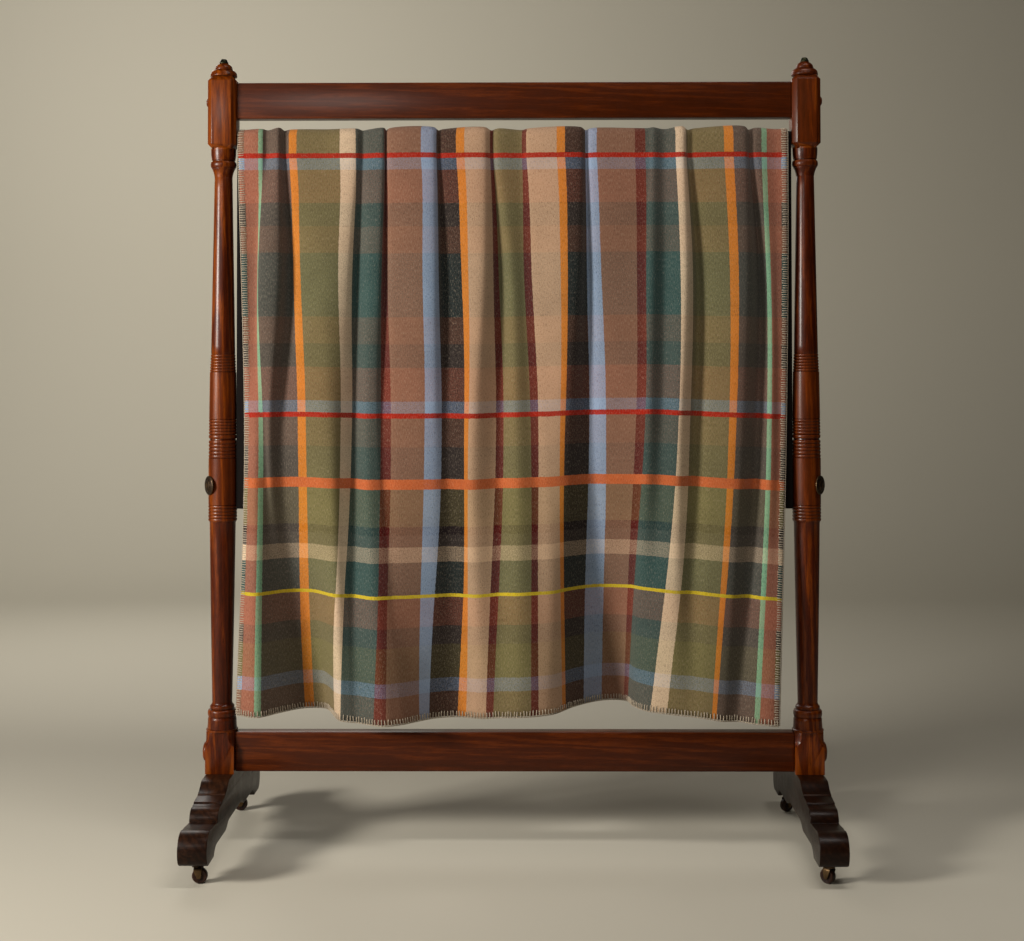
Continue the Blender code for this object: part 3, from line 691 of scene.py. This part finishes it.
def make_tubes(name, tubes, mat):
    """One mesh of many closed tubes."""
    verts, faces = [], []
    for rings in tubes:
        base = len(verts)
        count, sides = rings.shape[:2]
        verts.extend(rings.reshape(-1, 3).tolist())
        for r in range(count - 1):
            for s in range(sides):
                a, b = base + r * sides + s, base + r * sides + (s + 1) % sides
                faces.append((a, a + sides, b + sides, b))
        faces.append(tuple(base + s for s in range(sides)))
        faces.append(tuple(base + (count - 1) * sides + s for s in reversed(range(sides))))
    mesh = bpy.data.meshes.new(name)
    mesh.from_pydata(verts, [], faces)
    obj = bpy.data.objects.new(name, mesh)
    bpy.context.scene.collection.objects.link(obj)
    bpy.ops.object.select_all(action="DESELECT")
    obj.select_set(True)
    bpy.context.view_layer.objects.active = obj
    bpy.ops.object.mode_set(mode="EDIT")
    bpy.ops.mesh.select_all(action="SELECT")
    bpy.ops.mesh.normals_make_consistent(inside=False)
    bpy.ops.object.mode_set(mode="OBJECT")
    mesh.shade_smooth()
    mesh.materials.append(mat)
    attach(obj, "root")


def bead(low, high, radius, rise, steps=6):
    """A half-round ring on the shaft."""
    return [(low + (high - low) * (1 - math.cos(math.pi * i / steps)) / 2,
             radius + rise * math.sin(math.pi * i / steps)) for i in range(steps + 1)]


def reeds(low, high, count, low_radius, high_radius, cut=0.0017):
    """A band of small half-round rings with sharp grooves between."""
    step = (high - low) / count
    points = []
    for i in range(count):
        radius = low_radius + (high_radius - low_radius) * (i + 0.5) / count
        points += bead(low + step * i, low + step * (i + 0.97), radius - cut, cut, 5)
    return points


def taper(points, steps=10):
    """A smooth swelling line through (height, radius) points."""
    z, r = np.array(points).T
    knots = z[:, None]
    index = np.repeat(np.arange(len(z) - 1), steps)
    share = np.tile(np.arange(steps) / steps, len(z) - 1)[:, None]
    radii = read_curve(knots, r[:, None], index, share)[:, 0]
    heights = z[index] + share[:, 0] * (z[index + 1] - z[index])
    return list(zip(heights, radii)) + [points[-1]]


def shaft_profile():
    """Heights and radii of the turned part between the blocks."""
    return ([(0.2415, 0.0), (0.2415, 0.0325)] + bead(0.2420, 0.2465, 0.0325, 0.0012, 4)
            + taper([(0.2472, 0.0311), (0.2580, 0.0304), (0.2680, 0.0300)], 4)
            + [(0.2695, 0.0292), (0.2718, 0.0288)] + bead(0.2722, 0.2872, 0.0282, 0.0023)
            + [(0.2878, 0.0264)] + bead(0.2888, 0.2962, 0.0244, 0.0014, 5)
            + taper([(0.2970, 0.0236), (0.2992, 0.0220), (0.3030, 0.0212)], 4)
            + taper([(0.3060, 0.0212), (0.480, 0.0245), (0.6845, 0.0275)], 6)
            + reeds(0.688, 0.723, 5, 0.0305, 0.0305)
            + [(0.7235, 0.0303), (0.770, 0.0304), (0.8225, 0.0303)]
            + reeds(0.823, 0.861, 5, 0.0303, 0.0300)
            + [(0.8615, 0.0275), (0.8640, 0.0272)] + bead(0.8645, 0.8725, 0.0284, 0.0017, 5)
            + [(0.8730, 0.0272)]
            + reeds(0.8735, 0.906, 5, 0.0299, 0.0296)
            + [(0.9065, 0.0293), (0.955, 0.0287), (1.0065, 0.0280)]
            + reeds(1.007, 1.045, 6, 0.0277, 0.0262)
            + taper([(1.0465, 0.0255), (1.140, 0.0240), (1.300, 0.0211), (1.424, 0.0190)], 6)
            + taper([(1.4245, 0.0188), (1.4340, 0.0207), (1.4425, 0.0237)], 4)
            + [(1.4430, 0.0246), (1.4448, 0.0248)]
            + bead(1.4455, 1.4590, 0.0252, 0.0023) + [(1.4596, 0.0238), (1.4614, 0.0238)]
            + taper([(1.4622, 0.0250), (1.472, 0.0262), (1.4865, 0.0267)], 4) + [(1.4865, 0.0)])


def make_posts(wood):
    """Turned posts with a square block at each end."""
    half = BLOCK_HALF
    base_low, base_high = BASE_BLOCK_Z
    top_low, top_high = TOP_BLOCK_Z
    shaft = turned("post", shaft_profile())
    # The base block's shoulders are turned too, which leaves a tongue on each face
    round_block = turned("shoulder", [
        (base_low, 0.0), (base_low, 0.0500), (0.2120, 0.0440), (0.2140, 0.0414), (0.2165, 0.0396),
        (0.2195, 0.0379), (0.2230, 0.0367), (0.2270, 0.0359), (0.2340, 0.0353), (base_high, 0.0350),
        (base_high, 0.0)])
    block = start("cube", "base_block", size=2 * half, location=(0, 0, 0))
    block.scale.z = (base_high + 0.001 - base_low) / (2 * half)
    block.location.z = (base_low + base_high + 0.001) / 2
    bpy.ops.object.transform_apply(location=True, rotation=True, scale=True)
    cut_with(block, round_block, "INTERSECT")
    eased(block, 0.0008, 2, 50)
    cap = start("cube", "top_block", size=2 * half, location=(0, 0, 0))
    cap.scale.z = (top_high - top_low) / (2 * half)
    cap.location.z = (top_low + top_high) / 2
    bpy.ops.object.transform_apply(location=True, rotation=True, scale=True)
    bpy.ops.object.mode_set(mode="EDIT")
    bpy.ops.mesh.select_all(action="DESELECT")
    bpy.ops.object.mode_set(mode="OBJECT")
    for edge in cap.data.edges:
        a, b = (cap.data.vertices[i].co for i in edge.vertices)
        edge.select = abs(a.z - b.z) > half
    bpy.ops.object.mode_set(mode="EDIT")
    bpy.ops.mesh.bevel(offset=TOP_CHAMFER, segments=1, affect="EDGES")
    bpy.ops.object.mode_set(mode="OBJECT")
    eased(cap, 0.0008, 2, 30)
    cut_with(shaft, block, "UNION")
    cut_with(shaft, cap, "UNION")
    for side, sign in SIDES.items():
        turn = Matrix.Rotation(math.radians(90 * (sign > 0)), 4, "Z")
        settle(copy_of(shaft, "turned_post_" + side), wood, "root", ["post_" + side],
               Matrix.Translation((sign * POST_X, 0, 0)) @ turn)
    bpy.data.objects.remove(shaft, do_unlink=True)


def make_finials(wood, bronze):
    """Stepped domes with a tarnished button on each."""
    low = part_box("finial_left")[0].z
    profile = ([(0.0, 0.0), (0.0, 0.0283)] + bead(0.0003, 0.0042, 0.0279, 0.0006, 4)
               + [(0.0047, 0.0283), (0.0075, 0.0276), (0.0100, 0.0264), (0.0122, 0.0242), (0.0137, 0.0217),
                  (0.0146, 0.0199), (0.0149, 0.0188)]
               + bead(0.0151, 0.0178, 0.0183, 0.0008, 4)
               + [(0.0182, 0.0184), (0.0206, 0.0179), (0.0230, 0.0166), (0.0252, 0.0147), (0.0270, 0.0124),
                  (0.0281, 0.0105), (0.0285, 0.0098), (0.0285, 0.0)])
    button = ([(0.0, 0.0), (0.0, 0.0093)] + bead(0.0002, 0.0032, 0.0089, 0.0006, 4)
              + [(z, r) for r, z in arc((0.0, 0.0035), 0.0080, 10, 60, 5)][:-1]
              + [(0.0078, 0.0030), (0.0080, 0.0)])
    for side, sign in SIDES.items():
        settle(turned("finial_dome_" + side, profile, 56), wood, "root", ["finial_" + side],
               Matrix.Translation((sign * POST_X, 0, low)))
        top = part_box("finial_button_" + side)[0].z
        settle(turned("finial_cap_" + side, button, 40), bronze, "root", ["finial_button_" + side],
               Matrix.Translation((sign * POST_X, 0, top)))


def make_rails(wood):
    """Plain boards with eased arrises."""
    for name in ("top_rail", "bottom_rail"):
        low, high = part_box(name)
        board = start("cube", name + "_board", size=1.0, location=(low + high) / 2)
        board.scale = high - low
        bpy.ops.object.transform_apply(location=True, rotation=True, scale=True)
        eased(board, 0.0022, 3)
        settle(board, wood, "root", [name])


def foot_outline():
    """Side outline of a foot: seat, cove, two small steps, two rolls, castor pad and arch."""
    seat, pad = 0.1547, 0.042
    half = [(0.040, seat), (0.067, 0.1546), (0.0755, 0.1534), (0.0820, 0.1507), (0.0868, 0.1474),
            (0.0920, 0.1440), (0.0980, 0.1407), (0.1050, 0.1377), (0.1130, 0.1358), (0.1138, 0.1331),
            (0.1520, 0.1296), (0.1537, 0.1266)]
    half += arc((0.172, 0.1000), 0.0245, 98, 0, 14)
    half += [(0.2000, 0.1005), (0.2180, 0.1016), (0.2360, 0.1035)]
    half += arc((0.272, 0.070), 0.036, 108, -40, 24)
    half += [(0.291, pad), (0.234, pad), (0.2312, 0.0452), (0.2250, 0.0515), (0.2160, 0.0568),
             (0.2050, 0.0598), (0.108, 0.0590), (0.0960, 0.0628), (0.0840, 0.0690), (0.0740, 0.0712),
             (0.0600, 0.0720)]
    return half + [(-y, z) for y, z in reversed(half)]


def make_feet(wood):
    """Sawn sled feet."""
    for side, sign in SIDES.items():
        low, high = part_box("foot_" + side)
        outline = [(low.x, y, z) for y, z in foot_outline()]
        foot = sawn("sled_foot_" + side, outline, high.x - low.x)
        eased(foot, 0.0020, 3, 28)
        settle(foot, wood, "root", ["foot_" + side])


def outward(side, z, distance, turn=0.0):
    """A frame whose Z axis points out of a post's outer side, turned towards the front."""
    sign = SIDES[side]
    return (Matrix.Translation((sign * POST_X, 0, z)) @ Matrix.Rotation(math.radians(-sign * turn), 4, "Z")
            @ Matrix.Rotation(math.radians(90 * sign), 4, "Y") @ Matrix.Translation((0, 0, distance)))


def make_fittings(wood, brass):
    """Plugs over the rail bolts and the clamp screws at the pivots."""
    plugs = {"upper": (1.587, 0.0100, 0.0060), "lower": (0.197, 0.0215, 0.0090)}
    screw = ([(0.0, 0.0), (0.0, 0.0203)] + bead(0.0002, 0.0024, 0.0198, 0.0007, 4)
             + [(0.0028, 0.0190), (0.0034, 0.0180), (0.0030, 0.0160), (0.0034, 0.0138), (0.0040, 0.0128)]
             + bead(0.0042, 0.0060, 0.0104, 0.0012, 5)
             + [(0.0066, 0.0090), (0.0071, 0.0066), (0.0073, 0.0034), (0.0074, 0.0)])
    for side in SIDES:
        for name, (z, radius, height) in plugs.items():
            profile = [(0.0, 0.0), (0.0, radius)]
            profile += [(height * (0.30 + 0.70 * math.sin(a)), radius * (0.30 + 0.70 * math.cos(a)))
                        for a in (0.0, 0.3, 0.6, 0.9, 1.2, math.pi / 2)]
            profile += [(height, 0.0)]
            settle(turned(f"turned_plug_{name}_{side}", profile, 40), wood, "root",
                   [f"plug_{name}_{side}"], outward(side, z, BLOCK_HALF + SEAT_GAP))
        settle(turned("thumb_screw_" + side, screw, 40), brass, "root", ["clamp_screw_" + side],
               outward(side, CLAMP_Z, 0.0304 + SEAT_GAP, CLAMP_TURN))


def make_castors(brass, wood):
    """Small furniture castors: round plate, swivelling horn and turned wheel."""
    wheel_side = [(-0.0085, 0.0), (-0.0085, 0.0042), (-0.0078, 0.0056), (-0.0063, 0.0066), (-0.0067, 0.0112),
                  (-0.0071, 0.0128), (-0.0060, 0.0144), (-0.0042, 0.0151), (-0.0014, 0.0153)]
    wheel_profile = wheel_side + [(-h, r) for h, r in reversed(wheel_side)]
    plate_profile = [(0.0392, 0.0), (0.0392, 0.0150), (0.0398, 0.0160), (0.0405, 0.0165), (0.0417, 0.0165),
                     (0.0417, 0.0)]
    neck_profile = [(0.0325, 0.0), (0.0325, 0.0085), (0.0360, 0.0085), (0.0366, 0.0112), (0.0372, 0.0119),
                    (0.0382, 0.0119), (0.0389, 0.0112), (0.0389, 0.0)]
    cheek, gap, foot, crown = 0.0106, 0.0091, 0.0105, 0.0078
    arch = arc((0, 0.0270), crown, 0, 180, 10)
    outline = ([(cheek, foot)] + [(y * cheek / crown, z) for y, z in arch] + [(-cheek, foot), (-gap, foot)]
               + [(y * gap / crown, z - 0.0015) for y, z in reversed(arch)] + [(gap, foot)])
    horn = sawn("horn", [(-0.0040, y, z) for y, z in outline], 0.0165)
    bpy.ops.object.mode_set(mode="EDIT")
    bpy.ops.mesh.select_all(action="DESELECT")
    bpy.ops.object.mode_set(mode="OBJECT")
    for vertex in horn.data.vertices:
        vertex.select = vertex.co.z < 0.012
    bpy.ops.object.mode_set(mode="EDIT")
    bpy.ops.transform.resize(value=(0.42, 1, 1), center_override=(0.0082, 0, 0.0105))
    bpy.ops.object.mode_set(mode="OBJECT")
    eased(horn, 0.0004, 2)
    cut_with(horn, turned("neck", neck_profile, 40), "UNION")
    for (side, end), turn in CASTOR_TURN.items():
        name = f"castor_{side}_{end}"
        place = (Matrix.Translation((SIDES[side] * POST_X, ENDS[end] * CASTOR_Y, 0))
                 @ Matrix.Rotation(math.radians(turn), 4, "Z"))
        axle = place @ Matrix.Translation((TRAIL, 0, WHEEL_RADIUS)) @ Matrix.Rotation(-math.pi / 2, 4, "X")
        settle(turned(f"castor_plate_{side}_{end}", plate_profile, 40), brass, "root", [name + "_plate"],
               place)
        settle(copy_of(horn, f"castor_horn_{side}_{end}"), brass, name + "_horn", [name + "_horn"],
               place)
        settle(turned(f"castor_wheel_{side}_{end}", wheel_profile, 48), wood, name + "_wheel",
               [name + "_wheel"], axle)
    bpy.data.objects.remove(horn, do_unlink=True)


def dress(node, mat):
    """Give a CAD node that stays its finish."""
    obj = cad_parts[node]
    obj.data.materials.clear()
    obj.data.materials.append(mat)


def main():
    make_camera()
    make_stage()
    upright = wood_material("shellac polished pine, upright grain", "Z", "220801", "501B02", "964808")
    level = wood_material("shellac polished pine, level grain", "X", "1A0600", "3A1200", "6C2E05")
    dark = wood_material("ebonised foot wood", "Y", "080301", "1C0D06", "3C2212", 0.36, 0.08, 0.35)
    # The frame wood is near black: a dark stain, and painted shade where the arms show between the posts and
    # the cloth
    frame_stain_and_shade = wood_material("frame wood, dark stain and painted shade", "Z", "040202", "0A0504", "140A06", 0.6, 0.0, 0.2)
    wheel = wood_material("worn wheel wood", "Z", "120907", "241410", "4A3022", 0.42, 0.1, 0.7)
    brass = metal_material("aged brass", "6E5636", "43352A", "221C16")
    bronze = metal_material("green bronze", "4A4630", "2C2C1C", "1E2418")
    wool, yarn = wool_material(), yarn_material()
    cloth, grid = make_throw(wool)
    make_stitches(grid, yarn)
    make_posts(upright)
    make_finials(upright, bronze)
    make_rails(level)
    make_feet(dark)
    make_fittings(upright, brass)
    make_castors(brass, wheel)
    for node in ("hanging_rail", "arm_left", "arm_right"):
        dress(node, frame_stain_and_shade)
    for node in ("pivot_left", "pivot_right"):
        dress(node, brass)


main()
